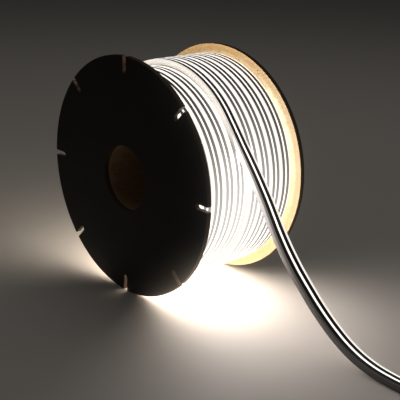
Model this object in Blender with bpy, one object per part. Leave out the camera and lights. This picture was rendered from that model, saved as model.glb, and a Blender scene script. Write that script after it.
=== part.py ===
# A length of flat LED neon flex wound on a board reel that stands on its rims.
# Metres, +Z up. The reel's axis runs along X at the height of the flange radius, and the floor is Z = 0.
# Angles around the axis start at the front, -Y, and rise over the top, +Z, to the back, +Y.
import math

import bmesh
import bpy
import numpy as np
from mathutils import Vector

# Gap left between pieces that touch
CONTACT_GAP = 0.0003

# Reel
FLANGE_DIAMETER = 0.280
FLANGE_THICKNESS = 0.006
FLANGE_SPACING = 0.138
FLANGE_EDGE_RADIUS = 0.0004
BORE_DIAMETER = 0.076
TUBE_WALL = 0.0065
RIM_SIDES = 128
BORE_SIDES = 48

# Rim slots of the near flange, in which the flex's end is tucked for transport
SLOT_COUNT = 8
SLOT_WIDTH = 0.006
SLOT_DEPTH = 0.019
SLOT_END_SEGMENTS = 6

# Flex
FLEX_WIDTH = 0.016
FLEX_THICKNESS = 0.007
TURN_GAP = 0.0003
FREE_RIM = 0.011

# Winding: the outermost layer starts beside this place, the layer below starts this far from the
# winding's left end, and the free end leaves at this angle
TOP_LAYER_START = 0.0009
LOWER_LAYER_MARGIN = 0.00295
LEAVE_ANGLE = math.radians(40)
WINDING_SIDES = 72

# Degrees from the place where the free end leaves. The outermost layer waits, while behind the reel the
# flex steps down to the layer below, and then catches up.
WAIT_START = 64
STEP_DOWN_START = 110
STEP_DOWN_END = 145
CAUGHT_UP = 260

# Free end: the middle of the flex, from just after the tangent point to the cap. It goes on along the
# helix of the outermost layer until it is clear of it, then sags to the floor and lies flat there.
FREE_END_ROUTE = (
    (-0.0078, -0.1091, 0.2054), (-0.0082, -0.1202, 0.1920), (-0.0081, -0.1316, 0.1781),
    (-0.0077, -0.1452, 0.1602), (-0.0074, -0.1582, 0.1419), (-0.0073, -0.1676, 0.1277),
    (-0.0073, -0.1762, 0.1147), (-0.0073, -0.1849, 0.1026), (-0.0074, -0.1946, 0.0905),
    (-0.0075, -0.2068, 0.0770), (-0.0072, -0.2214, 0.0622), (-0.0068, -0.2374, 0.0470),
    (-0.0064, -0.2556, 0.0322), (-0.0063, -0.2752, 0.0196), (-0.0064, -0.2954, 0.0108),
    (-0.0066, -0.3158, 0.0060), (-0.0067, -0.3364, 0.0043), (-0.0068, -0.3570, 0.0042),
    (-0.0068, -0.3770, 0.0048), (-0.0068, -0.3960, 0.0053),
)
ROUTE_STEPS = 3
FREE_END_TWIST = math.radians(12)
FLEX_CORNER = 0.0008

# Cap on the end of the flex
CAP_LENGTH = 0.016
CAP_GRIP = 0.010
CAP_WALL = 0.0013
CAP_CLEARANCE = 0.0003
CAP_EDGE_RADIUS = 0.0008

# Sizes worked out from those above
FLANGE_RADIUS = FLANGE_DIAMETER / 2
AXIS_HEIGHT = FLANGE_RADIUS
TUBE_RADIUS = BORE_DIAMETER / 2 + TUBE_WALL
TUBE_LENGTH = FLANGE_SPACING - 2 * CONTACT_GAP
WINDING_BORE_RADIUS = TUBE_RADIUS + CONTACT_GAP
WINDING_LENGTH = FLANGE_SPACING - 2 * CONTACT_GAP
LAYERS = int((FLANGE_RADIUS - FREE_RIM - WINDING_BORE_RADIUS) / FLEX_THICKNESS)
LOWER_RADIUS = WINDING_BORE_RADIUS + (LAYERS - 1) * FLEX_THICKNESS
UPPER_RADIUS = LOWER_RADIUS + FLEX_THICKNESS
TURN_PITCH = FLEX_WIDTH + TURN_GAP
LOWER_LAYER_START = LOWER_LAYER_MARGIN - WINDING_LENGTH / 2
BARE_LOWER_TURNS = 1 + int((TOP_LAYER_START - TURN_PITCH - FLEX_CORNER - LOWER_LAYER_START) / TURN_PITCH)
WHOLE_TOP_TURNS = int((WINDING_LENGTH / 2 - 2 * FLEX_CORNER - TOP_LAYER_START) / TURN_PITCH)
FREE_END_X = TOP_LAYER_START - TURN_PITCH + FLEX_WIDTH / 2
FREE_END_RADIUS = LOWER_RADIUS + CONTACT_GAP + FLEX_THICKNESS / 2


def clear_scene():
    for thing in list(bpy.data.objects):
        bpy.data.objects.remove(thing, do_unlink=True)


def make_material(name, color, roughness, glow=0.0):
    material = bpy.data.materials.new(name)
    material.use_nodes = True
    shader = material.node_tree.nodes["Principled BSDF"]
    shader.inputs["Base Color"].default_value = (*color, 1.0)
    shader.inputs["Roughness"].default_value = roughness
    shader.inputs["Metallic"].default_value = 0.0
    if glow:
        shader.inputs["Emission Color"].default_value = (1.0, 0.96, 0.9, 1.0)
        shader.inputs["Emission Strength"].default_value = glow
    material.diffuse_color = (*color, 1.0)
    return material


def around_axis(x, radius, angle):
    return Vector((x, -radius * math.cos(angle), AXIS_HEIGHT + radius * math.sin(angle)))


def finish_object(name, mesh_data, material, bevel_width=0.0):
    bmesh.ops.recalc_face_normals(mesh_data, faces=mesh_data.faces[:])
    mesh = bpy.data.meshes.new(name)
    mesh_data.to_mesh(mesh)
    mesh_data.free()
    mesh.materials.append(material)
    thing = bpy.data.objects.new(name, mesh)
    bpy.context.scene.collection.objects.link(thing)
    mesh.shade_smooth()
    mesh.set_sharp_from_angle(angle=math.radians(30))
    if bevel_width:
        bevel = thing.modifiers.new("edge_radius", 'BEVEL')
        bevel.width = bevel_width
        bevel.segments = 1
        bevel.limit_method = 'ANGLE'
        bevel.angle_limit = math.radians(50)
    return thing


# Outline of one flange in polar form, as (radius, angle) pairs; a flat of the rim is at the bottom
def flange_outline(slots):
    step = 2 * math.pi / RIM_SIDES
    rim = [(FLANGE_RADIUS / math.cos(step / 2), (i + 0.5) * step) for i in range(RIM_SIDES)]
    if not slots:
        return rim
    half_angle = math.asin(SLOT_WIDTH / 2 / FLANGE_RADIUS)
    corner_radius = FLANGE_RADIUS / math.cos(half_angle)
    end_radius = FLANGE_RADIUS - SLOT_DEPTH + SLOT_WIDTH / 2
    outline = []
    for slot in range(SLOT_COUNT):
        middle = 2 * math.pi * slot / SLOT_COUNT
        following = middle + 2 * math.pi / SLOT_COUNT
        outline.append((corner_radius, middle - half_angle))
        for i in range(SLOT_END_SEGMENTS + 1):
            turn = math.pi * i / SLOT_END_SEGMENTS
            along = end_radius - SLOT_WIDTH / 2 * math.sin(turn)
            across = -SLOT_WIDTH / 2 * math.cos(turn)
            outline.append((math.hypot(along, across), middle + math.atan2(across, along)))
        outline.append((corner_radius, middle + half_angle))
        outline += [(radius, angle) for radius, angle in rim
                    if middle + half_angle + step / 4 < angle < following - half_angle - step / 4]
    return outline


def make_flange(name, outer_x, inner_x, slots, material):
    board = bmesh.new()
    outline = [board.verts.new(around_axis(outer_x, r, a)) for r, a in flange_outline(slots)]
    bore = [board.verts.new(around_axis(outer_x, BORE_DIAMETER / 2, 2 * math.pi * i / BORE_SIDES))
            for i in range(BORE_SIDES)]
    loops = [outline, bore]
    edges = [board.edges.new((loop[i - 1], loop[i])) for loop in loops for i in range(len(loop))]
    filled = bmesh.ops.triangle_fill(board, use_beauty=True, use_dissolve=False, edges=edges)
    faces = [item for item in filled["geom"] if isinstance(item, bmesh.types.BMFace)]
    raised = bmesh.ops.extrude_face_region(board, geom=faces)
    moved = [item for item in raised["geom"] if isinstance(item, bmesh.types.BMVert)]
    bmesh.ops.translate(board, vec=(inner_x - outer_x, 0, 0), verts=moved)
    return finish_object(name, board, material, FLANGE_EDGE_RADIUS)


def make_core_tube(material):
    tube = bmesh.new()
    rings = []
    for x, radius in ((-TUBE_LENGTH / 2, BORE_DIAMETER / 2), (-TUBE_LENGTH / 2, TUBE_RADIUS),
                      (TUBE_LENGTH / 2, TUBE_RADIUS), (TUBE_LENGTH / 2, BORE_DIAMETER / 2)):
        rings.append([tube.verts.new(around_axis(x, radius, 2 * math.pi * i / BORE_SIDES))
                      for i in range(BORE_SIDES)])
    for k in range(4):
        first, second = rings[k], rings[(k + 1) % 4]
        for i in range(BORE_SIDES):
            j = (i + 1) % BORE_SIDES
            tube.faces.new((first[i], first[j], second[j], second[i]))
    return finish_object("core_tube", tube, material)


# Profile of one end of the winding, from its bore to its outside. The cut corners of the flex leave a
# groove between each layer and the next.
def layered_end(end_x, inward, layers):
    profile = [(end_x, WINDING_BORE_RADIUS)]
    for layer in range(1, layers):
        joint = WINDING_BORE_RADIUS + layer * FLEX_THICKNESS
        profile.append((end_x, joint - FLEX_CORNER))
        profile.append((end_x + inward * FLEX_CORNER, joint))
        profile.append((end_x, joint + FLEX_CORNER))
    profile.append((end_x, WINDING_BORE_RADIUS + layers * FLEX_THICKNESS))
    return profile


# Groove that the cut corners of two turns leave at the left edge of the second one
def turn_groove(edge, radius):
    return [(edge - TURN_GAP - FLEX_CORNER, radius), (edge, radius - FLEX_CORNER), (edge + FLEX_CORNER, radius)]


# Left end of the winding and the bare turns of the layer below the outermost one
def left_profile():
    below = LOWER_RADIUS - FLEX_THICKNESS
    profile = layered_end(-WINDING_LENGTH / 2, 1, LAYERS - 2)
    profile += [(LOWER_LAYER_START, below), (LOWER_LAYER_START, LOWER_RADIUS - FLEX_CORNER),
                (LOWER_LAYER_START + FLEX_CORNER, LOWER_RADIUS)]
    for turn in range(1, BARE_LOWER_TURNS):
        profile += turn_groove(LOWER_LAYER_START + turn * TURN_PITCH, LOWER_RADIUS)
    return profile


# Outermost layer at an angle, from the foot of its left edge to the winding's right end. Past its whole
# turns it goes on at full height to the place where the flex steps down, and beyond that lies lower.
def top_profile(degrees):
    moved = np.interp(degrees, (0, WAIT_START, STEP_DOWN_END, CAUGHT_UP, 360),
                      (0, WAIT_START / 360, WAIT_START / 360, CAUGHT_UP / 360, 1))
    last_height = float(np.interp(degrees, (STEP_DOWN_START, STEP_DOWN_END), (UPPER_RADIUS, LOWER_RADIUS)))
    edge = TOP_LAYER_START + TURN_PITCH * (float(moved) - 1)
    profile = [(edge, LOWER_RADIUS), (edge, UPPER_RADIUS - FLEX_CORNER), (edge + FLEX_CORNER, UPPER_RADIUS)]
    for turn in range(1, WHOLE_TOP_TURNS):
        profile += turn_groove(edge + turn * TURN_PITCH, UPPER_RADIUS)
    left, bottom, right = turn_groove(edge + WHOLE_TOP_TURNS * TURN_PITCH, UPPER_RADIUS)
    profile += [left, (bottom[0], min(bottom[1], last_height)), (right[0], last_height)]
    profile.append((WINDING_LENGTH / 2, last_height))
    return profile


# The outermost layer's edge runs one pitch along the reel in one turn, as a helix. Where the free end
# leaves, the edge jumps back by that pitch, which makes the flex's cut section as a small end wall. There
# the grooves of one turn run on as those of the next, and the layer's last turn comes up to full height.
def make_winding(material):
    winding = bmesh.new()
    left_end = left_profile()
    right_end = list(reversed(layered_end(WINDING_LENGTH / 2, -1, LAYERS - 1)[:-1]))
    sides = []
    for i in range(WINDING_SIDES + 1):
        turned = 360 * i / WINDING_SIDES
        angle = LEAVE_ANGLE + math.radians(turned)
        top = [winding.verts.new(around_axis(x, r, angle)) for x, r in top_profile(turned)]
        if i < WINDING_SIDES:
            left = [winding.verts.new(around_axis(x, r, angle)) for x, r in left_end]
            right = [winding.verts.new(around_axis(x, r, angle)) for x, r in right_end]
        else:
            left, right = sides[0]["left"], sides[0]["right"]
        sides.append({"left": left, "top": top, "right": right})
    first, last = sides[0], sides[-1]
    shared = len(first["top"]) - 5
    for vertex in last["top"][1:1 + shared]:
        winding.verts.remove(vertex)
    last["top"][1:1 + shared] = first["top"][4:4 + shared]
    for a, b in zip(sides, sides[1:]):
        for part in ("left", "top", "right"):
            for j in range(len(a[part]) - 1):
                corners = [a[part][j], b[part][j], b[part][j + 1], a[part][j + 1]]
                if a is first and part == "top" and j == len(a[part]) - 2:
                    corners.append(last["top"][-4])
                winding.faces.new(corners)
        foot = [b["left"][-1], first["top"][0], b["top"][0]] if b is last else [b["left"][-1], b["top"][0]]
        winding.faces.new([*foot, a["top"][0], a["left"][-1]])
        crown = [last["top"][-1], a["top"][-1]] if a is first else [a["top"][-1]]
        winding.faces.new([b["top"][-1], b["right"][0], a["right"][0], *crown])
        winding.faces.new((a["right"][-1], b["right"][-1], b["left"][0], a["left"][0]))
    winding.faces.new((first["top"][0], last["top"][0], *reversed(first["top"][1:5])))
    winding.faces.new((*last["top"][-4:], first["top"][-1]))
    return finish_object("wound_flex", winding, material)


# Smooth curve through the route's points (Catmull-Rom), starting at the tangent point
def free_end_path():
    start = around_axis(FREE_END_X, FREE_END_RADIUS, LEAVE_ANGLE)
    along = Vector((0, -math.sin(LEAVE_ANGLE), -math.cos(LEAVE_ANGLE)))
    points = [start + along * CONTACT_GAP] + [Vector(place) for place in FREE_END_ROUTE]
    before = points[0] - (points[1] - points[0])
    after = points[-1] + (points[-1] - points[-2])
    knots = [before] + points + [after]
    path = []
    for k in range(1, len(knots) - 2):
        a, b, c, d = knots[k - 1:k + 3]
        for i in range(ROUTE_STEPS):
            t = i / ROUTE_STEPS
            path.append(0.5 * (2 * b + (c - a) * t + (2 * a - 5 * b + 4 * c - d) * t ** 2
                               + (3 * b - a - 3 * c + d) * t ** 3))
    path.append(points[-1])
    return path


def path_direction(path, i):
    return (path[min(i + 1, len(path) - 1)] - path[max(i - 1, 0)]).normalized()


# Rectangle with cut corners, as (sideways, outward) distances from its middle
def flat_section(width, thickness, corner):
    w, t = width / 2, thickness / 2
    return ((-w, -t + corner), (-w, t - corner), (-w + corner, t), (w - corner, t),
            (w, t - corner), (w, -t + corner), (w - corner, -t), (-w + corner, -t))


# The hanging stretch is twisted a little towards the slotted flange, most of all halfway along
def make_free_end(path, material):
    flex = bmesh.new()
    start_direction = Vector((0, -math.sin(LEAVE_ANGLE), -math.cos(LEAVE_ANGLE)))
    rings = []
    for i, place in enumerate(path):
        along = start_direction if i == 0 else path_direction(path, i)
        outward = along.cross(Vector((1, 0, 0))).normalized()
        twist = FREE_END_TWIST * math.sin(math.pi * i / (len(path) - 1)) ** 2
        outward = outward * math.cos(twist) - outward.cross(along) * math.sin(twist)
        side = outward.cross(along)
        rings.append([flex.verts.new(place + side * across + outward * out)
                      for across, out in flat_section(FLEX_WIDTH, FLEX_THICKNESS, FLEX_CORNER)])
    for first, second in zip(rings, rings[1:]):
        for i in range(len(first)):
            j = (i + 1) % len(first)
            flex.faces.new((first[i], first[j], second[j], second[i]))
    flex.faces.new(list(reversed(rings[0])))
    flex.faces.new(rings[-1])
    return finish_object("flex_free_end", flex, material)


def make_end_cap(path, material):
    along = path_direction(path, len(path) - 1)
    side = Vector((1, 0, 0))
    outward = along.cross(side).normalized()
    mouth = path[-1] - along * (CAP_GRIP - CONTACT_GAP)
    inner_width = FLEX_WIDTH + 2 * CAP_CLEARANCE
    inner_height = FLEX_THICKNESS + 2 * CAP_CLEARANCE
    outer = (inner_width + 2 * CAP_WALL, inner_height + 2 * CAP_WALL)
    inner = (inner_width, inner_height)
    cap = bmesh.new()
    rings = []
    for size, depth in ((outer, CAP_LENGTH), (outer, 0.0), (inner, 0.0), (inner, CAP_GRIP)):
        middle = mouth + along * depth
        rings.append([cap.verts.new(middle + side * across + outward * out)
                      for across, out in flat_section(*size, CAP_EDGE_RADIUS)])
    for first, second in zip(rings, rings[1:]):
        for i in range(len(first)):
            j = (i + 1) % len(first)
            cap.faces.new((first[i], first[j], second[j], second[i]))
    cap.faces.new(rings[0])
    cap.faces.new(list(reversed(rings[-1])))
    return finish_object("end_cap", cap, material)


def main():
    clear_scene()
    black_faced_board = make_material("black_faced_board", (0.030, 0.028, 0.026), 0.85)
    kraft_board = make_material("kraft_board", (0.62, 0.42, 0.22), 0.85)
    flex_diffuser = make_material("flex_diffuser", (0.90, 0.89, 0.86), 0.45, glow=1.0)
    cap_plastic = make_material("cap_plastic", (0.82, 0.82, 0.80), 0.40)

    inner_face = FLANGE_SPACING / 2
    outer_face = inner_face + FLANGE_THICKNESS
    make_flange("near_flange", -outer_face, -inner_face, True, black_faced_board)
    make_flange("far_flange", outer_face, inner_face, False, kraft_board)
    make_core_tube(kraft_board)
    make_winding(flex_diffuser)
    path = free_end_path()
    make_free_end(path, flex_diffuser)
    make_end_cap(path, cap_plastic)


main()
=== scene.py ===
import math

import bmesh
import bpy
from mathutils import Matrix, Vector


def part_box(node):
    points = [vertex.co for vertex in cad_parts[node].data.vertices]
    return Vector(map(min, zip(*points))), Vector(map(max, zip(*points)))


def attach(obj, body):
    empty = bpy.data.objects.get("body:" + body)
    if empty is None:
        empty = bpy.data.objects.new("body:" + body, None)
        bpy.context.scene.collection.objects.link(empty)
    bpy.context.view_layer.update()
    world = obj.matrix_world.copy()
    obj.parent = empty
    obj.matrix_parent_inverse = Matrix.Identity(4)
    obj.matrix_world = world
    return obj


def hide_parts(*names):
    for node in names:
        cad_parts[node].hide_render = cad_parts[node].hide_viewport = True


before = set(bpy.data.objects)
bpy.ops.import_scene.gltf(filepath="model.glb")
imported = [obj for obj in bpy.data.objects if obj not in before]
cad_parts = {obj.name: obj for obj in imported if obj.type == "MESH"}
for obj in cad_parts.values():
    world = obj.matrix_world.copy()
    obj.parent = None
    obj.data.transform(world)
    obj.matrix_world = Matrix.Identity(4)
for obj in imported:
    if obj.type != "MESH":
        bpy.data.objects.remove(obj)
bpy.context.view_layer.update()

MM = 0.001

# Reel: its pieces' boxes come from the parts in model.glb
near_low, near_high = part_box("near_flange")
far_low, far_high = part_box("far_flange")
tube_low, tube_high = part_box("core_tube")
winding_low, winding_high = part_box("wound_flex")
AXIS_HEIGHT = (near_low.z + near_high.z) / 2
FLANGE_RADIUS = (near_high.z - near_low.z) / 2
WINDING_RADIUS = (winding_high.z - winding_low.z) / 2
TUBE_RADIUS = (tube_high.z - tube_low.z) / 2
TUBE_WALL = 6.5 * MM
BORE_RADIUS = TUBE_RADIUS - TUBE_WALL
BORE_SIDES = 96
SLOT_COUNT = 8
SLOT_WIDTH = 6 * MM
SLOT_DEPTH = 19 * MM
SLOT_END_SEGMENTS = 12
RIM_SIDES = 256
TURNED_SIDES = 128
EDGE_RADIUS = 0.4 * MM
EDGE_SEGMENTS = 2
EDGE_ANGLE = 50
TUBE_EDGE = 0.5 * MM

# Board: how far each face's surface laps over the rounded edge, as a share of its radius, then the plies,
# the seam between the tube's strips, and how the near-black outer face is worn brown at the rim
OUTER_LAP = 1.1
INNER_LAP = 0.5
PLY = 1.2 * MM
PLY_WOBBLE = 0.5 * MM
SEAM_PITCH = 85 * MM
SEAM_SHARE = 0.012
WEAR_RAGGEDNESS = 3.2 * MM
WEAR_BLEND = 0.9 * MM
WEAR_START = 1.1

# Flex
FLEX_WIDTH = 16 * MM
FLEX_THICKNESS = 7 * MM
TURN_PITCH = 16.3 * MM
CONTACT_GAP = 0.3 * MM
LIGHT_LINE = 2.4 * MM
LIGHT_CROWN = 0.25 * MM
CROWN_SHOULDER = (0.55, 0.7)
TRACK_REACH = 10.7 * MM
TRACK_DEPTH = 0.35 * MM
TRACK_SLOPE = 0.2 * MM
TRACK_FLOOR_MARGIN = 0.07 * MM
FLEX_CORNER = 0.8 * MM
CORNER_SEGMENTS = 3

# Angles in degrees: edges that turn by less are shaded smooth
SMOOTH_BELOW = 32
FLEX_SMOOTH_BELOW = 50

# Winding: the angles are in degrees. Behind the reel the lower layer's turns cross over to the next
# place, and the flex steps down from the outermost layer. Ten more layers lie under these two.
INNER_LAYERS = 10
TURNS_ACROSS = 8
WHOLE_TOP_TURNS = 4
LEAVE_ANGLE = 40
LEAVE_X = -7.4 * MM
CROSSING_START = 104
CROSSING_END = 158
STEP_DOWN_START = 150
STEP_DOWN_END = 185
CAUGHT_UP = 300
ANGLE_STEP = 4
LOWER_FIRST_X = -57.75 * MM

UPPER_MIDDLE = WINDING_RADIUS - FLEX_THICKNESS / 2 + CONTACT_GAP
LOWER_MIDDLE = WINDING_RADIUS - FLEX_THICKNESS * 1.5
INNER_RADIUS = WINDING_RADIUS - FLEX_THICKNESS * 2

# Free end: the points of its middle, from the reel to the cap
FREE_END_ROUTE = (
    (-0.0078, -0.1091, 0.2054), (-0.0082, -0.1202, 0.1920), (-0.0081, -0.1316, 0.1781),
    (-0.0077, -0.1452, 0.1602), (-0.0074, -0.1582, 0.1419), (-0.0073, -0.1676, 0.1277),
    (-0.0073, -0.1762, 0.1147), (-0.0073, -0.1849, 0.1026), (-0.0074, -0.1946, 0.0905),
    (-0.0075, -0.2068, 0.0770), (-0.0072, -0.2214, 0.0622), (-0.0068, -0.2374, 0.0470),
    (-0.0064, -0.2556, 0.0322), (-0.0063, -0.2752, 0.0196), (-0.0064, -0.2954, 0.0108),
    (-0.0066, -0.3158, 0.0060), (-0.0067, -0.3364, 0.0043), (-0.0068, -0.3570, 0.0042),
    (-0.0068, -0.3770, 0.0048), (-0.0068, -0.3960, 0.0053),
)
ROUTE_STEPS = 6
FREE_END_TWIST = 12

# Cap
CAP_LENGTH = 16 * MM
CAP_GRIP = 10 * MM
CAP_WALL = 1.3 * MM
CAP_CLEARANCE = 0.3 * MM
CAP_ROUNDING = 1.2 * MM
CAP_CORNER_SEGMENTS = 4

# Cap's outside as (inset, depth) pairs from its crowned end to the lip, and its inside as (flare, depth)
# pairs from the mouth inwards. Depths count from the mouth.
CAP_OUTSIDE = (
    (1.4 * MM, CAP_LENGTH), (0.4 * MM, CAP_LENGTH - 0.3 * MM), (0, CAP_LENGTH - 1.0 * MM), (0, 2.2 * MM),
    (0.5 * MM, 1.8 * MM), (0.5 * MM, 1.4 * MM), (0, 1.0 * MM), (0, 0.3 * MM), (0.6 * MM, 0),
)
CAP_INSIDE = ((0.4 * MM, 0), (0, 0.4 * MM), (0, CAP_GRIP))

# How brightly the flex shines, and the painted haze of glare that the shine lays on the tracks at the
# winding's front.
# The flex's body shines least underneath and gains on the way up to its rails. Its left side's glow is
# painted light from the turn beside it, so it is dimmer where no turn lies beside it: round the outermost
# layer's first turn, up to an angle counted from where the free end leaves, and along the free end.
LIGHT_LINE_GLOW = 1.25
BODY_GLOW = 0.95
INNER_TURNS_GLOW = 0.5
UNDERSIDE_GLOW = 0.4
GLOW_RISE_START = -0.7 * MM
GLOW_RISE = 3.85 * MM
SIDE_BLEND = 1 * MM
LINE_COLOR = (1.0, 0.96, 0.90)
BODY_COLOR = (1.0, 0.95, 0.88)
GLOW_TOP_COLOR = (1.0, 0.75, 0.47)
GLOW_FRONT_COLOR = (1.0, 0.94, 0.98)
GLOW_FLOOR_COLOR = (1.0, 0.87, 0.76)
GLOW_FRONT_ANGLE = 10
GLOW_LIGHTS = 24
GLOW_COVER = 0.98
GLOW_RADIANCE = 4.7
GLOW_BACK_SHARE = 0.4
GLOW_WIDTH = 128 * MM
GLOW_X = -4.5 * MM
EDGE_GLOW_RADIANCE = 2.35
EDGE_GLOW_HEIGHT = 8 * MM
EDGE_GLOW_LIFT = 2 * MM
EDGE_GLOW_LEFT_X = winding_low.x + 2.2 * MM
EDGE_GLOW_RIGHT_X = winding_high.x - 2.4 * MM
EDGE_GLOW_COLOR = (0.68, 0.81, 1.0)
EDGE_GLOW_BACK_COLOR = (1.0, 0.80, 0.55)
EDGE_GLOW_ANGLE = 25
EDGE_GLOW_BACK_SHARE = 0.25
PAINTED_TRACK_HAZE = 0.68
PAINTED_HAZE_X = -8 * MM
PAINTED_HAZE_REACH = 60 * MM
PAINTED_HAZE_ANGLE = -16
PAINTED_HAZE_SPREAD = 44
PAINTED_HAZE_START_SPAN = 90
OPEN_SIDE_PAINTED_LIGHT = 0.76
OPEN_SIDE_END = 300
OPEN_SIDE_FADE = 60
SIDE_PAINTED_LIGHT_REACH = 80 * MM
# Base colour painted on the milky body where little of its glow shows: painted shade
PAINTED_SHADE_BODY = (0.065, 0.056, 0.049)

# Studio
FLOOR_HALF_SIZE = 20.0
STUDIO_WHITE = (1.0, 0.98, 0.95)
STUDIO_FILL = 0.02
SOFTBOX_PLACE = Vector((0.3, 0.2, 2.2))
SOFTBOX_TARGET = Vector((0, 0, 0.1))
SOFTBOX_SIZE = (1.8, 1.8)
SOFTBOX_POWER = 4.5
BLOOM_THRESHOLD = 0.9
BLOOM_STRENGTH = 0.2
BLOOM_SIZE = 0.15

# Camera: angles in degrees
CAMERA_PLACE = (-0.6410, -0.7464, 0.4400)
CAMERA_YAW = 42.49
CAMERA_PITCH = -19.17
CAMERA_ROLL = 1.30
CAMERA_LENS = 77.09
CAMERA_SENSOR = 36


# Camera
def place_camera():
    yaw, pitch, roll = (math.radians(angle) for angle in (CAMERA_YAW, CAMERA_PITCH, CAMERA_ROLL))
    level_right = Vector((math.cos(yaw), -math.sin(yaw), 0))
    ahead = Vector((math.sin(yaw), math.cos(yaw), 0))
    forward = math.cos(pitch) * ahead + math.sin(pitch) * Vector((0, 0, 1))
    level_up = level_right.cross(forward)
    right = math.cos(roll) * level_right + math.sin(roll) * level_up
    up = -math.sin(roll) * level_right + math.cos(roll) * level_up
    data = bpy.data.cameras.new("camera")
    data.sensor_width = CAMERA_SENSOR
    data.lens = CAMERA_LENS
    camera = new_object("camera", data)
    turned = Matrix((right, up, -forward)).transposed().to_4x4()
    camera.matrix_world = Matrix.Translation(CAMERA_PLACE) @ turned
    bpy.context.scene.camera = camera


# Materials
def new_material(name, color, roughness):
    material = bpy.data.materials.new(name)
    material.use_nodes = True
    shader = material.node_tree.nodes["Principled BSDF"]
    shader.inputs["Base Color"].default_value = (*color, 1)
    shader.inputs["Roughness"].default_value = roughness
    return material, material.node_tree.nodes, material.node_tree.links, shader


def math_node(nodes, links, operation, a, b=None):
    node = nodes.new("ShaderNodeMath")
    node.operation = operation
    for socket, value in zip(node.inputs, (a, b)):
        if value is None:
            continue
        if hasattr(value, "links"):
            links.new(value, socket)
        else:
            socket.default_value = value
    return node.outputs[0]


def noise_texture(nodes, links, scale, stretch=(1, 1, 1), detail=4.0, roughness=0.55):
    place = nodes.new("ShaderNodeTexCoord")
    mapping = nodes.new("ShaderNodeMapping")
    mapping.inputs["Scale"].default_value = stretch
    noise = nodes.new("ShaderNodeTexNoise")
    noise.inputs["Scale"].default_value = scale
    noise.inputs["Detail"].default_value = detail
    noise.inputs["Roughness"].default_value = roughness
    links.new(place.outputs["Object"], mapping.inputs["Vector"])
    links.new(mapping.outputs["Vector"], noise.inputs["Vector"])
    return noise.outputs[0]


def color_ramp(nodes, links, factor, stops):
    ramp = nodes.new("ShaderNodeValToRGB")
    while len(ramp.color_ramp.elements) < len(stops):
        ramp.color_ramp.elements.new(0.5)
    for element, (position, color) in zip(ramp.color_ramp.elements, stops):
        element.position = position
        element.color = (*color, 1)
    links.new(factor, ramp.inputs[0])
    return ramp.outputs[0]


def mix_colors(nodes, links, factor, a, b):
    mix = nodes.new("ShaderNodeMix")
    mix.data_type = 'RGBA'
    for socket, value in ((mix.inputs[0], factor), (mix.inputs[6], a), (mix.inputs[7], b)):
        if hasattr(value, "links"):
            links.new(value, socket)
        elif isinstance(value, tuple):
            socket.default_value = (*value, 1)
        else:
            socket.default_value = value
    return mix.outputs[2]


def bump(nodes, links, shader, height, distance, strength=1.0):
    node = nodes.new("ShaderNodeBump")
    node.inputs["Strength"].default_value = strength
    node.inputs["Distance"].default_value = distance
    links.new(height, node.inputs["Height"])
    links.new(node.outputs["Normal"], shader.inputs["Normal"])


def vary_roughness(nodes, links, shader, source, low, high):
    spread = nodes.new("ShaderNodeMapRange")
    spread.inputs["To Min"].default_value = low
    spread.inputs["To Max"].default_value = high
    links.new(source, spread.inputs["Value"])
    links.new(spread.outputs["Result"], shader.inputs["Roughness"])


# The three coordinates of a place on the object
def split_place(nodes, links):
    split = nodes.new("ShaderNodeSeparateXYZ")
    links.new(nodes.new("ShaderNodeTexCoord").outputs["Object"], split.inputs[0])
    return split.outputs


# Milky extrusion: the light inside it shows as the glow value stored on the mesh; on the left side that
# value is painted light from the turns beside it, and where it is weak the base colour is painted shade
def milky_extrusion():
    material, nodes, links, shader = new_material("milky_extrusion", (0.88, 0.87, 0.84), 0.42)
    cloud = noise_texture(nodes, links, 90, detail=3)
    tone = color_ramp(nodes, links, cloud, [(0.3, (0.84, 0.83, 0.80)), (0.7, (0.90, 0.89, 0.86))])
    vary_roughness(nodes, links, shader, cloud, 0.36, 0.50)
    glow_and_painted_light = nodes.new("ShaderNodeAttribute")
    glow_and_painted_light.attribute_name = "glow_and_painted_light"
    # Where the glow is weak, underneath, low on the sides and along the free end's left side, the base
    # colour is painted dark: painted shade
    lit = color_ramp(nodes, links, glow_and_painted_light.outputs["Fac"], [(0.0, (0, 0, 0)), (0.5, (1, 1, 1))])
    links.new(mix_colors(nodes, links, lit, PAINTED_SHADE_BODY, tone), shader.inputs["Base Color"])
    strength = math_node(nodes, links, 'MULTIPLY', glow_and_painted_light.outputs["Fac"], BODY_GLOW)
    shader.inputs["Emission Color"].default_value = (*BODY_COLOR, 1)
    links.new(strength, shader.inputs["Emission Strength"])
    bump(nodes, links, shader, noise_texture(nodes, links, 900, detail=2), 0.03 * MM)
    return material


# Black tracks: a painted glow stands for the glare that light from the milky parts lays on them, most of all
# at the front of the winding
def black_tracks():
    material, nodes, links, shader = new_material("black_tracks", (0.012, 0.011, 0.010), 0.3)
    grain = noise_texture(nodes, links, 400)
    tone = color_ramp(nodes, links, grain, [(0.3, (0.008, 0.0075, 0.007)), (0.7, (0.018, 0.017, 0.016))])
    links.new(tone, shader.inputs["Base Color"])
    vary_roughness(nodes, links, shader, grain, 0.22, 0.36)
    shader.inputs["Emission Color"].default_value = (*LINE_COLOR, 1)
    painted_haze = nodes.new("ShaderNodeAttribute")
    painted_haze.attribute_name = "painted_haze"
    links.new(painted_haze.outputs["Fac"], shader.inputs["Emission Strength"])
    return material


def light_line():
    material, nodes, links, shader = new_material("light_line", (0.92, 0.91, 0.88), 0.4)
    shader.inputs["Emission Color"].default_value = (*LINE_COLOR, 1)
    shader.inputs["Emission Strength"].default_value = LIGHT_LINE_GLOW
    cloud = noise_texture(nodes, links, 60, detail=2)
    vary_roughness(nodes, links, shader, cloud, 0.35, 0.45)
    return material


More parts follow.
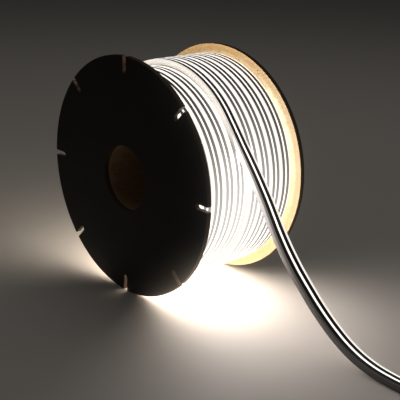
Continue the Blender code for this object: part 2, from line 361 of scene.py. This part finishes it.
# Pressed board: long fibres lie in the disc's plane, with darker specks among them
def board_face(name, dark, mid, light, speck, roughness):
    material, nodes, links, shader = new_material(name, mid, roughness)
    fibres = noise_texture(nodes, links, 60, (1, 9, 1.4), detail=8, roughness=0.65)
    cross_fibres = noise_texture(nodes, links, 75, (1, 1.2, 8), detail=8, roughness=0.65)
    together = math_node(nodes, links, 'ADD', fibres, cross_fibres)
    halved = math_node(nodes, links, 'MULTIPLY', together, 0.5)
    tone = color_ramp(nodes, links, halved, [(0.36, dark), (0.5, mid), (0.64, light)])
    specks = noise_texture(nodes, links, 520, (1, 1.0, 0.6), detail=2)
    spotted = color_ramp(nodes, links, specks, [(0.66, (0, 0, 0)), (0.74, (1, 1, 1))])
    links.new(mix_colors(nodes, links, spotted, tone, speck), shader.inputs["Base Color"])
    vary_roughness(nodes, links, shader, halved, roughness - 0.08, roughness + 0.06)
    bump(nodes, links, shader, halved, 0.12 * MM, 0.8)
    return material


# Outer face: near black, scuffed brown just at the rim
def black_face():
    material = board_face("black_board_face", (0.010, 0.0095, 0.009), (0.016, 0.015, 0.014),
                          (0.024, 0.0225, 0.021), (0.03, 0.028, 0.026), 0.62)
    nodes, links = material.node_tree.nodes, material.node_tree.links
    shader = nodes["Principled BSDF"]
    base = shader.inputs["Base Color"].links[0].from_socket
    place = split_place(nodes, links)
    lifted = math_node(nodes, links, 'SUBTRACT', place["Z"], AXIS_HEIGHT)
    y_square = math_node(nodes, links, 'MULTIPLY', place["Y"], place["Y"])
    z_square = math_node(nodes, links, 'MULTIPLY', lifted, lifted)
    radius = math_node(nodes, links, 'SQRT', math_node(nodes, links, 'ADD', y_square, z_square))
    to_rim = math_node(nodes, links, 'SUBTRACT', FLANGE_RADIUS, radius)
    ragged = math_node(nodes, links, 'MULTIPLY', noise_texture(nodes, links, 140, detail=6), WEAR_RAGGEDNESS)
    worn = math_node(nodes, links, 'SUBTRACT', ragged, to_rim)
    scaled = math_node(nodes, links, 'DIVIDE', worn, WEAR_BLEND)
    clamp = nodes.new("ShaderNodeClamp")
    links.new(math_node(nodes, links, 'SUBTRACT', scaled, WEAR_START), clamp.inputs[0])
    links.new(mix_colors(nodes, links, clamp.outputs[0], base, (0.11, 0.075, 0.045)),
              shader.inputs["Base Color"])
    return material


# Cut edge: the plies of the board run round the rim, the slots and the bore
def board_edge():
    material, nodes, links, shader = new_material("cut_board_edge", (0.10, 0.058, 0.032), 0.85)
    wobble = math_node(nodes, links, 'MULTIPLY', noise_texture(nodes, links, 30, detail=3), PLY_WOBBLE)
    shifted = math_node(nodes, links, 'ADD', split_place(nodes, links)["X"], wobble)
    phase = math_node(nodes, links, 'MULTIPLY', shifted, 2 * math.pi / PLY)
    plies = math_node(nodes, links, 'SINE', phase)
    level = math_node(nodes, links, 'MULTIPLY', math_node(nodes, links, 'ADD', plies, 1.0), 0.5)
    fuzz = noise_texture(nodes, links, 700, detail=3)
    blend = math_node(nodes, links, 'ADD', math_node(nodes, links, 'MULTIPLY', level, 0.6),
                      math_node(nodes, links, 'MULTIPLY', fuzz, 0.4))
    tone = color_ramp(nodes, links, blend, [(0.2, (0.050, 0.027, 0.014)), (0.8, (0.135, 0.080, 0.045))])
    links.new(tone, shader.inputs["Base Color"])
    bump(nodes, links, shader, blend, 0.2 * MM, 0.8)
    return material


def kraft_face():
    return board_face("kraft_board_face", (0.60, 0.435, 0.235), (0.66, 0.49, 0.27), (0.72, 0.545, 0.315),
                      (0.51, 0.355, 0.185), 0.84)


# Core tube: kraft paper wound in a spiral, with a fine seam between its strips
def wound_board():
    material = board_face("wound_board", (0.40, 0.26, 0.13), (0.50, 0.34, 0.18), (0.58, 0.41, 0.24),
                          (0.26, 0.16, 0.08), 0.82)
    nodes, links = material.node_tree.nodes, material.node_tree.links
    shader = nodes["Principled BSDF"]
    base = shader.inputs["Base Color"].links[0].from_socket
    place = split_place(nodes, links)
    lifted = math_node(nodes, links, 'SUBTRACT', place["Z"], AXIS_HEIGHT)
    angle = math_node(nodes, links, 'ARCTAN2', lifted, place["Y"])
    turn = math_node(nodes, links, 'DIVIDE', angle, 2 * math.pi)
    along = math_node(nodes, links, 'DIVIDE', place["X"], SEAM_PITCH)
    spiral = math_node(nodes, links, 'ADD', turn, along)
    in_strip = math_node(nodes, links, 'FRACT', math_node(nodes, links, 'ADD', spiral, 4.0))
    seam = color_ramp(nodes, links, in_strip, [(0.0, (1, 1, 1)), (SEAM_SHARE, (0, 0, 0)),
                                               (1 - SEAM_SHARE, (0, 0, 0)), (1.0, (1, 1, 1))])
    links.new(mix_colors(nodes, links, seam, base, (0.16, 0.10, 0.05)), shader.inputs["Base Color"])
    return material


def moulded_cap():
    material, nodes, links, shader = new_material("moulded_cap", (0.80, 0.79, 0.76), 0.38)
    cloud = noise_texture(nodes, links, 220, detail=3)
    tone = color_ramp(nodes, links, cloud, [(0.3, (0.76, 0.75, 0.72)), (0.7, (0.83, 0.82, 0.79))])
    links.new(tone, shader.inputs["Base Color"])
    vary_roughness(nodes, links, shader, cloud, 0.32, 0.46)
    bump(nodes, links, shader, noise_texture(nodes, links, 2600, detail=2), 0.02 * MM)
    return material


def pale_floor():
    return new_material("pale_floor", (0.72, 0.68, 0.62), 0.7)[0]


# Shapes
def around_axis(x, radius, degrees):
    angle = math.radians(degrees)
    return Vector((x, -radius * math.cos(angle), AXIS_HEIGHT + radius * math.sin(angle)))


def outward_at(degrees):
    angle = math.radians(degrees)
    return Vector((0, -math.cos(angle), math.sin(angle)))


def new_object(name, data):
    thing = bpy.data.objects.new(name, data)
    bpy.context.scene.collection.objects.link(thing)
    return thing


def mesh_from(name, shape, materials):
    bmesh.ops.recalc_face_normals(shape, faces=shape.faces[:])
    mesh = bpy.data.meshes.new(name)
    shape.to_mesh(mesh)
    shape.free()
    for material in materials:
        mesh.materials.append(material)
    mesh.shade_smooth()
    mesh.set_sharp_from_angle(angle=math.radians(SMOOTH_BELOW))
    return mesh


# Closed piece turned on the reel's axis from a loop of (x, radius) places
def turned_mesh(name, loop, sides, materials):
    shape = bmesh.new()
    rings = [[shape.verts.new(around_axis(x, radius, 360 * i / sides)) for i in range(sides)]
             for x, radius in loop]
    for k, ring in enumerate(rings):
        following = rings[(k + 1) % len(rings)]
        for i in range(sides):
            j = (i + 1) % sides
            shape.faces.new((ring[i], ring[j], following[j], following[i]))
    return mesh_from(name, shape, materials)


def finished(piece, slot, *replaced):
    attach(piece, "root")
    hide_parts(*replaced)
    return piece


# Flex extrusion

# Section of the flex as (across, height) places: a crowned light line, a sunk black track on each
# side of it, a milky rail beside each track, and rounded corners
def flex_section():
    half_width, half_height = FLEX_WIDTH / 2, FLEX_THICKNESS / 2
    light, reach = LIGHT_LINE / 2, TRACK_REACH / 2
    sunk = half_height - TRACK_DEPTH
    shoulder = (light * CROWN_SHOULDER[0], half_height + LIGHT_CROWN * CROWN_SHOULDER[1])
    half = [(0, half_height + LIGHT_CROWN), shoulder, (light, half_height), (light + TRACK_SLOPE, sunk),
            (reach - TRACK_SLOPE, sunk), (reach, half_height)]
    corners = ((half_height - FLEX_CORNER, 90, 0), (FLEX_CORNER - half_height, 0, -90))
    for centre_height, first, last in corners:
        for k in range(CORNER_SEGMENTS + 1):
            angle = math.radians(first + (last - first) * k / CORNER_SEGMENTS)
            half.append((half_width - FLEX_CORNER + FLEX_CORNER * math.cos(angle),
                         centre_height + FLEX_CORNER * math.sin(angle)))
    half.append((0, -half_height))
    return half + [(-across, height) for across, height in reversed(half[1:-1])]


# How much of the inner light shows at a place of the section: most at the rails, least underneath
def face_share(height):
    risen = (height - GLOW_RISE_START) / GLOW_RISE
    return UNDERSIDE_GLOW + (1 - UNDERSIDE_GLOW) * max(0.0, min(1.0, risen))


def section_object():
    places = flex_section()
    mesh = bpy.data.meshes.new("flex_section")
    edges = [(i, (i + 1) % len(places)) for i in range(len(places))]
    mesh.from_pydata([(height, across, 0) for across, height in places], edges, [])
    for name, values in (("across", [a for a, _ in places]), ("height", [h for _, h in places]),
                         ("face_share", [face_share(h) for _, h in places])):
        mesh.attributes.new(name, 'FLOAT', 'POINT').data.foreach_set("value", values)
    return new_object("flex_section", mesh)


def read_attribute(tree, name, kind='FLOAT'):
    node = tree.nodes.new("GeometryNodeInputNamedAttribute")
    node.data_type = kind
    node.inputs["Name"].default_value = name
    return node.outputs["Attribute"]


# Sweeps the section along a path whose points hold the outward direction, the left side's painted light and
# the painted haze on the tracks
def flex_tree():
    tree = bpy.data.node_groups.new("flex_extrusion", 'GeometryNodeTree')
    for name, kind in (("Path", 'NodeSocketGeometry'), ("Section", 'NodeSocketObject'),
                       ("Half light line", 'NodeSocketFloat'), ("Half track reach", 'NodeSocketFloat'),
                       ("Track floor height", 'NodeSocketFloat'), ("Body", 'NodeSocketMaterial'),
                       ("Tracks", 'NodeSocketMaterial'), ("Light line", 'NodeSocketMaterial')):
        tree.interface.new_socket(name, in_out='INPUT', socket_type=kind)
    tree.interface.new_socket("Flex", in_out='OUTPUT', socket_type='NodeSocketGeometry')
    nodes, links = tree.nodes, tree.links
    given = nodes.new("NodeGroupInput").outputs

    path = nodes.new("GeometryNodeMeshToCurve")
    links.new(given["Path"], path.inputs["Mesh"])
    turned = nodes.new("GeometryNodeSetCurveNormal")
    turned.mode = 'FREE'
    links.new(path.outputs["Curve"], turned.inputs["Curve"])
    links.new(read_attribute(tree, "outward", 'FLOAT_VECTOR'), turned.inputs["Normal"])
    section = nodes.new("GeometryNodeObjectInfo")
    links.new(given["Section"], section.inputs["Object"])
    outline = nodes.new("GeometryNodeMeshToCurve")
    links.new(section.outputs["Geometry"], outline.inputs["Mesh"])
    sweep = nodes.new("GeometryNodeCurveToMesh")
    sweep.inputs["Fill Caps"].default_value = True
    links.new(turned.outputs["Curve"], sweep.inputs["Curve"])
    links.new(outline.outputs["Curve"], sweep.inputs["Profile Curve"])

    # The left side gets painted light from the turns beside it; the right side keeps the full inner light
    across = read_attribute(tree, "across")
    rightness = nodes.new("ShaderNodeMapRange")
    rightness.inputs["From Min"].default_value = -SIDE_BLEND
    rightness.inputs["From Max"].default_value = SIDE_BLEND
    links.new(across, rightness.inputs["Value"])
    side_light_painted_on_left = nodes.new("ShaderNodeMix")
    links.new(rightness.outputs["Result"], side_light_painted_on_left.inputs[0])
    links.new(read_attribute(tree, "left_side_painted_light"), side_light_painted_on_left.inputs[2])
    side_light_painted_on_left.inputs[3].default_value = 1.0
    glow_and_painted_light = math_node(nodes, links, 'MULTIPLY', side_light_painted_on_left.outputs[0], read_attribute(tree, "face_share"))
    stored = nodes.new("GeometryNodeStoreNamedAttribute")
    stored.inputs["Name"].default_value = "glow_and_painted_light"
    links.new(sweep.outputs["Mesh"], stored.inputs["Geometry"])
    links.new(glow_and_painted_light, stored.inputs["Value"])

    distance = math_node(nodes, links, 'ABSOLUTE', across)
    height = read_attribute(tree, "height")
    on_face = math_node(nodes, links, 'GREATER_THAN', height, given["Track floor height"])
    in_reach = math_node(nodes, links, 'LESS_THAN', distance, given["Half track reach"])
    in_light = math_node(nodes, links, 'LESS_THAN', distance, given["Half light line"])
    shape = nodes.new("GeometryNodeRealizeInstances")
    links.new(stored.outputs["Geometry"], shape.inputs[0])
    last = shape.outputs[0]
    for name, region in (("Body", None), ("Tracks", in_reach), ("Light line", in_light)):
        dressed = nodes.new("GeometryNodeSetMaterial")
        links.new(last, dressed.inputs["Geometry"])
        links.new(given[name], dressed.inputs["Material"])
        if region is not None:
            both = math_node(nodes, links, 'MULTIPLY', region, on_face)
            links.new(both, dressed.inputs["Selection"])
        last = dressed.outputs["Geometry"]
    links.new(last, nodes.new("NodeGroupOutput").inputs[0])
    return tree


# Flex along a list of (place, outward, painted light on the left side, painted haze on the tracks), made a
# plain mesh
def extrude_flex(name, stations, tree, section, finishes):
    mesh = bpy.data.meshes.new(name + "_path")
    mesh.from_pydata([s[0] for s in stations], [(i, i + 1) for i in range(len(stations) - 1)], [])
    outward = mesh.attributes.new("outward", 'FLOAT_VECTOR', 'POINT')
    outward.data.foreach_set("vector", [c for s in stations for c in s[1]])
    for k, attribute in ((2, "left_side_painted_light"), (3, "painted_haze")):
        mesh.attributes.new(attribute, 'FLOAT', 'POINT').data.foreach_set("value", [s[k] for s in stations])
    guide = new_object(name + "_path", mesh)
    modifier = guide.modifiers.new("flex_extrusion", 'NODES')
    modifier.node_group = tree
    values = {"Section": section, "Half light line": LIGHT_LINE / 2, "Half track reach": TRACK_REACH / 2,
              "Track floor height": FLEX_THICKNESS / 2 - TRACK_DEPTH - TRACK_FLOOR_MARGIN, **finishes}
    for item in tree.interface.items_tree:
        if item.in_out == 'INPUT' and item.name in values:
            modifier[item.identifier] = values[item.name]
    ready = bpy.context.evaluated_depsgraph_get()
    result = bpy.data.meshes.new_from_object(guide.evaluated_get(ready), depsgraph=ready)
    result.name = name
    guide.modifiers.remove(modifier)
    bpy.data.objects.remove(guide, do_unlink=True)
    result.shade_smooth()
    result.set_sharp_from_angle(angle=math.radians(FLEX_SMOOTH_BELOW))
    return new_object(name, result)


# Route of the winding
def eased(share):
    share = max(0.0, min(1.0, share))
    return share * share * (3 - 2 * share)


# How far the outermost layer has moved along the reel, in pitches, at an angle counted from the place
# where the free end leaves. It waits behind the reel while the layer below crosses over and the flex
# steps down, then catches up.
def helix_progress(degrees):
    turns, rest = divmod(degrees, 360)
    wait_start, wait_end = CROSSING_START - LEAVE_ANGLE, STEP_DOWN_END - LEAVE_ANGLE
    caught_up = CAUGHT_UP - LEAVE_ANGLE
    if wait_start <= rest < wait_end:
        rest = wait_start
    elif wait_end <= rest < caught_up:
        rest = wait_start + (caught_up - wait_start) * (rest - wait_end) / (caught_up - wait_end)
    return turns + rest / 360


# Painted haze of glare that the light lays on the black tracks, strongest at the front of the winding
def painted_haze_at(x, degrees):
    across = (x - PAINTED_HAZE_X) / PAINTED_HAZE_REACH
    around = ((degrees - PAINTED_HAZE_ANGLE + 180) % 360 - 180) / PAINTED_HAZE_SPREAD
    return PAINTED_TRACK_HAZE * math.exp(-across * across - around * around)


# Place, outward direction, painted light on the left side and painted haze on the tracks of the flex where
# it is wound
def station(x, radius, degrees, left_side_painted_light=1.0, painted_haze_share=1.0):
    return around_axis(x, radius, degrees), outward_at(degrees), left_side_painted_light, painted_haze_at(x, degrees) * painted_haze_share


# The flex from the place where the free end leaves, back along the outermost layer, down to the layer
# below and along that one to the slotted flange, where it dives to the next
def winding_stations():
    stations = []
    upper_end = WHOLE_TOP_TURNS * 360 + STEP_DOWN_START
    turned = LEAVE_ANGLE
    while turned <= upper_end:
        gone = turned - LEAVE_ANGLE
        x = LEAVE_X + TURN_PITCH * helix_progress(gone)
        # Painted light on the left side, from the turn beside it, is weaker round the first turn, where none
        # lies beside it
        left_side_painted_light = OPEN_SIDE_PAINTED_LIGHT + (1 - OPEN_SIDE_PAINTED_LIGHT) * eased((gone - OPEN_SIDE_END) / OPEN_SIDE_FADE)
        stations.append(station(x, UPPER_MIDDLE, turned, left_side_painted_light, eased(gone / PAINTED_HAZE_START_SPAN)))
        turned += ANGLE_STEP
    last_upper_x = x
    last_x = LOWER_FIRST_X + (TURNS_ACROSS - 1) * TURN_PITCH
    step_span = STEP_DOWN_END - STEP_DOWN_START
    while turned <= upper_end + step_span:
        share = eased((turned - upper_end) / step_span)
        x = last_upper_x + (last_x - last_upper_x) * share
        radius = UPPER_MIDDLE + (LOWER_MIDDLE - UPPER_MIDDLE) * share
        stations.append(station(x, radius, turned))
        turned += ANGLE_STEP
    first_crossing = (WHOLE_TOP_TURNS + 1) * 360 + CROSSING_START
    crossing_span = CROSSING_END - CROSSING_START
    while turned <= first_crossing + (TURNS_ACROSS - 1) * 360 + crossing_span:
        crossed = 0.0
        if turned > first_crossing:
            turns, rest = divmod(turned - first_crossing, 360)
            crossed = turns + eased(rest / crossing_span)
        x = LOWER_FIRST_X + (TURNS_ACROSS - 1 - min(crossed, TURNS_ACROSS - 1)) * TURN_PITCH
        dive = eased(crossed - (TURNS_ACROSS - 1))
        stations.append(station(x, LOWER_MIDDLE - FLEX_THICKNESS * dive, turned))
        turned += ANGLE_STEP
    return stations


# The layers underneath, whose turns show as rounded shoulders on the ends and the outside
def inner_turns(material):
    first_x = LOWER_FIRST_X - TURN_PITCH / 2
    start, end = winding_low.x, winding_high.x
    bore = TUBE_RADIUS + CONTACT_GAP
    rounding, inset = FLEX_CORNER, 0.3 * FLEX_CORNER
    loop = []
    for turn in range(TURNS_ACROSS):
        left = start if turn == 0 else first_x + turn * TURN_PITCH
        right = end if turn == TURNS_ACROSS - 1 else first_x + (turn + 1) * TURN_PITCH
        loop += [(left, INNER_RADIUS - rounding), (left + inset, INNER_RADIUS - inset),
                 (left + rounding, INNER_RADIUS), (right - rounding, INNER_RADIUS),
                 (right - inset, INNER_RADIUS - inset)]
    loop.append((end, INNER_RADIUS - rounding))
    joints = [bore + layer * FLEX_THICKNESS for layer in range(1, INNER_LAYERS)]
    for joint in reversed(joints):
        loop += [(end, joint + rounding), (end - rounding, joint), (end, joint - rounding)]
    loop += [(end, bore), (start, bore)]
    for joint in joints:
        loop += [(start, joint - rounding), (start + rounding, joint), (start, joint + rounding)]
    mesh = turned_mesh("inner_turns", loop, TURNED_SIDES, [material])
    glow_and_painted_light = mesh.attributes.new("glow_and_painted_light", 'FLOAT', 'POINT')
    glow_and_painted_light.data.foreach_set("value", [INNER_TURNS_GLOW] * len(mesh.vertices))
    return new_object("inner_turns", mesh)


# Route of the free end, as a smooth curve through its points
def free_end_points():
    start = around_axis(LEAVE_X, UPPER_MIDDLE, LEAVE_ANGLE)
    points = [start] + [Vector(place) for place in FREE_END_ROUTE]
    knots = [2 * points[0] - points[1]] + points + [2 * points[-1] - points[-2]]
    path = []
    for k in range(1, len(knots) - 2):
        a, b, c, d = knots[k - 1:k + 3]
        for i in range(ROUTE_STEPS):
            t = i / ROUTE_STEPS
            path.append(0.5 * (2 * b + (c - a) * t + (2 * a - 5 * b + 4 * c - d) * t ** 2
                               + (3 * b - a - 3 * c + d) * t ** 3))
    path.append(points[-1])
    return path


# The light goes on along the free end's right rail; the left rail gets painted light from the turns only
# near the reel
def free_end_stations(path):
    stations = []
    gone = 0.0
    for i, place in enumerate(path):
        ahead = (path[min(i + 1, len(path) - 1)] - path[max(i - 1, 0)]).normalized()
        if i == 0:
            ahead = Vector((0, -math.sin(math.radians(LEAVE_ANGLE)), -math.cos(math.radians(LEAVE_ANGLE))))
        else:
            gone += (place - path[i - 1]).length
        outward = ahead.cross(Vector((1, 0, 0))).normalized()
        twist = math.radians(FREE_END_TWIST) * math.sin(math.pi * i / (len(path) - 1)) ** 2
        outward = outward * math.cos(twist) - outward.cross(ahead) * math.sin(twist)
        left_side_painted_light = OPEN_SIDE_PAINTED_LIGHT * math.exp(-gone / SIDE_PAINTED_LIGHT_REACH)
        stations.append((place, outward, left_side_painted_light, 0.0))
    stations.reverse()
    return stations


def rounded_rectangle(width, height, rounding):
    places = []
    for corner, (sx, sy) in enumerate(((1, 1), (-1, 1), (-1, -1), (1, -1))):
        for k in range(CAP_CORNER_SEGMENTS + 1):
            angle = math.radians(90 * corner + 90 * k / CAP_CORNER_SEGMENTS)
            places.append((sx * (width / 2 - rounding) + rounding * math.cos(angle),
                           sy * (height / 2 - rounding) + rounding * math.sin(angle)))
    return places


# Cup that closes the flex's end, with a rolled lip at its mouth and a crowned end
def cap_mesh(path, material):
    along = (path[-1] - path[-2]).normalized()
    side = Vector((1, 0, 0))
    outward = along.cross(side).normalized()
    mouth = path[-1] - along * (CAP_GRIP - CONTACT_GAP)
    inner_width = FLEX_WIDTH + 2 * CAP_CLEARANCE
    inner_height = FLEX_THICKNESS + 2 * CAP_CLEARANCE
    outer_width, outer_height = inner_width + 2 * CAP_WALL, inner_height + 2 * CAP_WALL
    profile = [(outer_width - inset, outer_height - inset, depth) for inset, depth in CAP_OUTSIDE]
    profile += [(inner_width + flare, inner_height + flare, depth) for flare, depth in CAP_INSIDE]
    shape = bmesh.new()
    rings = []
    for width, height, depth in profile:
        rings.append([shape.verts.new(mouth + along * depth + side * across + outward * out)
                      for across, out in rounded_rectangle(width, height, CAP_ROUNDING)])
    for first, second in zip(rings, rings[1:]):
        for i in range(len(first)):
            j = (i + 1) % len(first)
            shape.faces.new((first[i], first[j], second[j], second[i]))
    shape.faces.new(rings[0])
    shape.faces.new(rings[-1])
    return mesh_from("cap", shape, [material])


# Reel

# Outline of a flange as (radius, degrees) pairs; a flat of the rim is at the bottom
def flange_outline(slots):
    step = 360 / RIM_SIDES
    rim = [(FLANGE_RADIUS, (i + 0.5) * step) for i in range(RIM_SIDES)]
    if not slots:
        return rim
    half_angle = math.degrees(math.asin(SLOT_WIDTH / 2 / FLANGE_RADIUS))
    end_radius = FLANGE_RADIUS - SLOT_DEPTH + SLOT_WIDTH / 2
    clear = half_angle + step / 4
    outline = []
    for slot in range(SLOT_COUNT):
        middle = 360 * slot / SLOT_COUNT
        outline.append((FLANGE_RADIUS, middle - half_angle))
        for i in range(SLOT_END_SEGMENTS + 1):
            turn = math.pi * i / SLOT_END_SEGMENTS
            along = end_radius - SLOT_WIDTH / 2 * math.sin(turn)
            across = -SLOT_WIDTH / 2 * math.cos(turn)
            outline.append((math.hypot(along, across), middle + math.degrees(math.atan2(across, along))))
        outline.append((FLANGE_RADIUS, middle + half_angle))
        outline += [(radius, angle) for radius, angle in rim
                    if middle + clear < angle < middle + 360 / SLOT_COUNT - clear]
    return outline


# Board disc with rounded edges: near black outside, kraft paper inside and the cut board between them
def make_flange(name, outer_x, inner_x, slots, finishes):
    board = bmesh.new()
    outline = [board.verts.new(around_axis(outer_x, r, a)) for r, a in flange_outline(slots)]
    bore = [board.verts.new(around_axis(outer_x, BORE_RADIUS, 360 * i / BORE_SIDES))
            for i in range(BORE_SIDES)]
    edges = [board.edges.new((loop[i - 1], loop[i])) for loop in (outline, bore) for i in range(len(loop))]
    filled = bmesh.ops.triangle_fill(board, use_beauty=True, use_dissolve=False, edges=edges)
    faces = [item for item in filled["geom"] if isinstance(item, bmesh.types.BMFace)]
    raised = bmesh.ops.extrude_face_region(board, geom=faces)
    moved = [item for item in raised["geom"] if isinstance(item, bmesh.types.BMVert)]
    bmesh.ops.translate(board, vec=(inner_x - outer_x, 0, 0), verts=moved)
    rough = new_object(name + "_blank", mesh_from(name + "_blank", board, finishes))
    bevel = rough.modifiers.new("edge_radius", 'BEVEL')
    bevel.width = EDGE_RADIUS
    bevel.segments = EDGE_SEGMENTS
    bevel.limit_method = 'ANGLE'
    bevel.angle_limit = math.radians(EDGE_ANGLE)
    ready = bpy.context.evaluated_depsgraph_get()
    mesh = bpy.data.meshes.new_from_object(rough.evaluated_get(ready), depsgraph=ready)
    mesh.name = name
    rough.modifiers.remove(bevel)
    bpy.data.objects.remove(rough, do_unlink=True)
    for face in mesh.polygons:
        if abs(face.center.x - outer_x) < EDGE_RADIUS * OUTER_LAP:
            face.material_index = 0
        elif abs(face.center.x - inner_x) < EDGE_RADIUS * INNER_LAP:
            face.material_index = 1
        else:
            face.material_index = 2
    return new_object(name, mesh)


def core_tube(material):
    low, high = tube_low.x, tube_high.x
    inside, outside, edge = BORE_RADIUS, TUBE_RADIUS, TUBE_EDGE
    loop = [(low, inside + edge), (low, outside - edge), (low + edge, outside), (high - edge, outside),
            (high, outside - edge), (high, inside + edge), (high - edge, inside), (low + edge, inside)]
    return new_object("board_core", turned_mesh("board_core", loop, TURNED_SIDES, [material]))


# Floor and light
def lay_floor(material):
    half = FLOOR_HALF_SIZE
    mesh = bpy.data.meshes.new("floor")
    corners = [(-half, -half, 0), (half, -half, 0), (half, half, 0), (-half, half, 0)]
    mesh.from_pydata(corners, [], [(0, 1, 2, 3)])
    mesh.materials.append(material)
    return new_object("floor", mesh)


def blended(a, b, share):
    return [p + (q - p) * share for p, q in zip(a, b)]


# Flat light that shines along "facing". The first number of its size lies along "across".
def area_light(name, place, facing, across, size, power, color):
    data = bpy.data.lights.new(name, 'AREA')
    data.shape = 'RECTANGLE'
    data.size, data.size_y = size
    data.energy = power
    data.color = color
    light = new_object(name, data)
    light.location = place
    light.rotation_euler = Matrix((across, across.cross(facing), -facing)).transposed().to_euler()
    return light


# The light that the winding sheds, as a ring of flat lights just outside its turns. It is warm at the
# top, whiter at the front and towards the floor, and weakest at the back.
def shine_from_winding():
    radius = UPPER_MIDDLE + FLEX_THICKNESS / 2 + LIGHT_CROWN + CONTACT_GAP
    long = 2 * math.pi * radius / GLOW_LIGHTS * GLOW_COVER
    for i in range(GLOW_LIGHTS):
        degrees = 360 * (i + 0.5) / GLOW_LIGHTS
        share = 1 - (1 - GLOW_BACK_SHARE) * (1 - math.cos(math.radians(degrees))) / 2
        power = math.pi * GLOW_RADIANCE * share * GLOW_WIDTH * long
        upward = max(0.0, math.sin(math.radians(degrees)))
        front = max(0.0, math.cos(math.radians(degrees - GLOW_FRONT_ANGLE))) ** 2
        color = blended(blended(GLOW_FLOOR_COLOR, GLOW_TOP_COLOR, upward), GLOW_FRONT_COLOR, front)
        light = area_light(f"winding_glow_{i + 1}", around_axis(GLOW_X, radius, degrees),
                           outward_at(degrees), Vector((1, 0, 0)), (GLOW_WIDTH, long), power, color)
        light.visible_camera = False


# The light that the end turns shed on the inner faces of the flanges, as narrow lights in the gaps there
def shine_on_flanges():
    for name, side, x, radius in (("slotted_flange_glow", -1, EDGE_GLOW_LEFT_X, LOWER_MIDDLE),
                                  ("plain_flange_glow", 1, EDGE_GLOW_RIGHT_X, UPPER_MIDDLE)):
        long = 2 * math.pi * radius / GLOW_LIGHTS * GLOW_COVER
        for i in range(GLOW_LIGHTS):
            degrees = 360 * (i + 0.5) / GLOW_LIGHTS
            front = ((1 + math.cos(math.radians(degrees - EDGE_GLOW_ANGLE))) / 2) ** 3
            share = EDGE_GLOW_BACK_SHARE + (1 - EDGE_GLOW_BACK_SHARE) * front
            power = math.pi * EDGE_GLOW_RADIANCE * share * EDGE_GLOW_HEIGHT * long
            color = blended(EDGE_GLOW_BACK_COLOR, EDGE_GLOW_COLOR, front)
            light = area_light(f"{name}_{i + 1}", around_axis(x, radius + EDGE_GLOW_LIFT, degrees),
                               Vector((side, 0, 0)), outward_at(degrees), (EDGE_GLOW_HEIGHT, long),
                               power, color)
            light.visible_camera = False


# Slight bloom round what is nearly white or brighter, as a lens gives it
def add_bloom():
    scene = bpy.context.scene
    scene.use_nodes = True
    nodes, links = scene.node_tree.nodes, scene.node_tree.links
    nodes.clear()
    picture = nodes.new("CompositorNodeRLayers")
    bloom = nodes.new("CompositorNodeGlare")
    bloom.glare_type = 'BLOOM'
    bloom.quality = 'HIGH'
    bloom.inputs["Threshold"].default_value = BLOOM_THRESHOLD
    bloom.inputs["Strength"].default_value = BLOOM_STRENGTH
    bloom.inputs["Size"].default_value = BLOOM_SIZE
    result = nodes.new("CompositorNodeComposite")
    links.new(picture.outputs["Image"], bloom.inputs["Image"])
    links.new(bloom.outputs["Image"], result.inputs["Image"])


def light_scene():
    world = bpy.data.worlds.new("studio")
    bpy.context.scene.world = world
    world.use_nodes = True
    background = world.node_tree.nodes["Background"]
    background.inputs["Color"].default_value = (*STUDIO_WHITE, 1)
    background.inputs["Strength"].default_value = STUDIO_FILL
    facing = (SOFTBOX_TARGET - SOFTBOX_PLACE).normalized()
    area_light("overhead_softbox", SOFTBOX_PLACE, facing, facing.cross(Vector((0, 0, 1))).normalized(),
               SOFTBOX_SIZE, SOFTBOX_POWER, STUDIO_WHITE)
    shine_from_winding()
    shine_on_flanges()
    add_bloom()
    bpy.context.scene.view_settings.view_transform = 'Standard'


# Assembly
def build():
    place_camera()
    body, tracks, line = milky_extrusion(), black_tracks(), light_line()
    finishes = {"Body": body, "Tracks": tracks, "Light line": line}
    tree = flex_tree()
    section = section_object()

    path = free_end_points()
    cap = finished(new_object("end_cap_moulding", cap_mesh(path, moulded_cap())), "cap_plastic", "end_cap")
    free_end = extrude_flex("flex_to_floor", free_end_stations(path), tree, section, finishes)
    finished(free_end, "flex_diffuser", "flex_free_end")

    outer = extrude_flex("outer_turns", winding_stations(), tree, section, finishes)
    finished(outer, "flex_diffuser", "wound_flex")
    finished(inner_turns(body), "flex_diffuser", "wound_flex")
    bpy.data.objects.remove(section, do_unlink=True)

    boards = [black_face(), kraft_face(), board_edge()]
    near = make_flange("slotted_flange", near_low.x, near_high.x, True, boards)
    finished(near, "black_faced_board", "near_flange")
    far = make_flange("plain_flange", far_high.x, far_low.x, False, boards)
    finished(far, "kraft_board", "far_flange")
    finished(core_tube(wound_board()), "kraft_board", "core_tube")

    lay_floor(pale_floor())
    light_scene()


build()
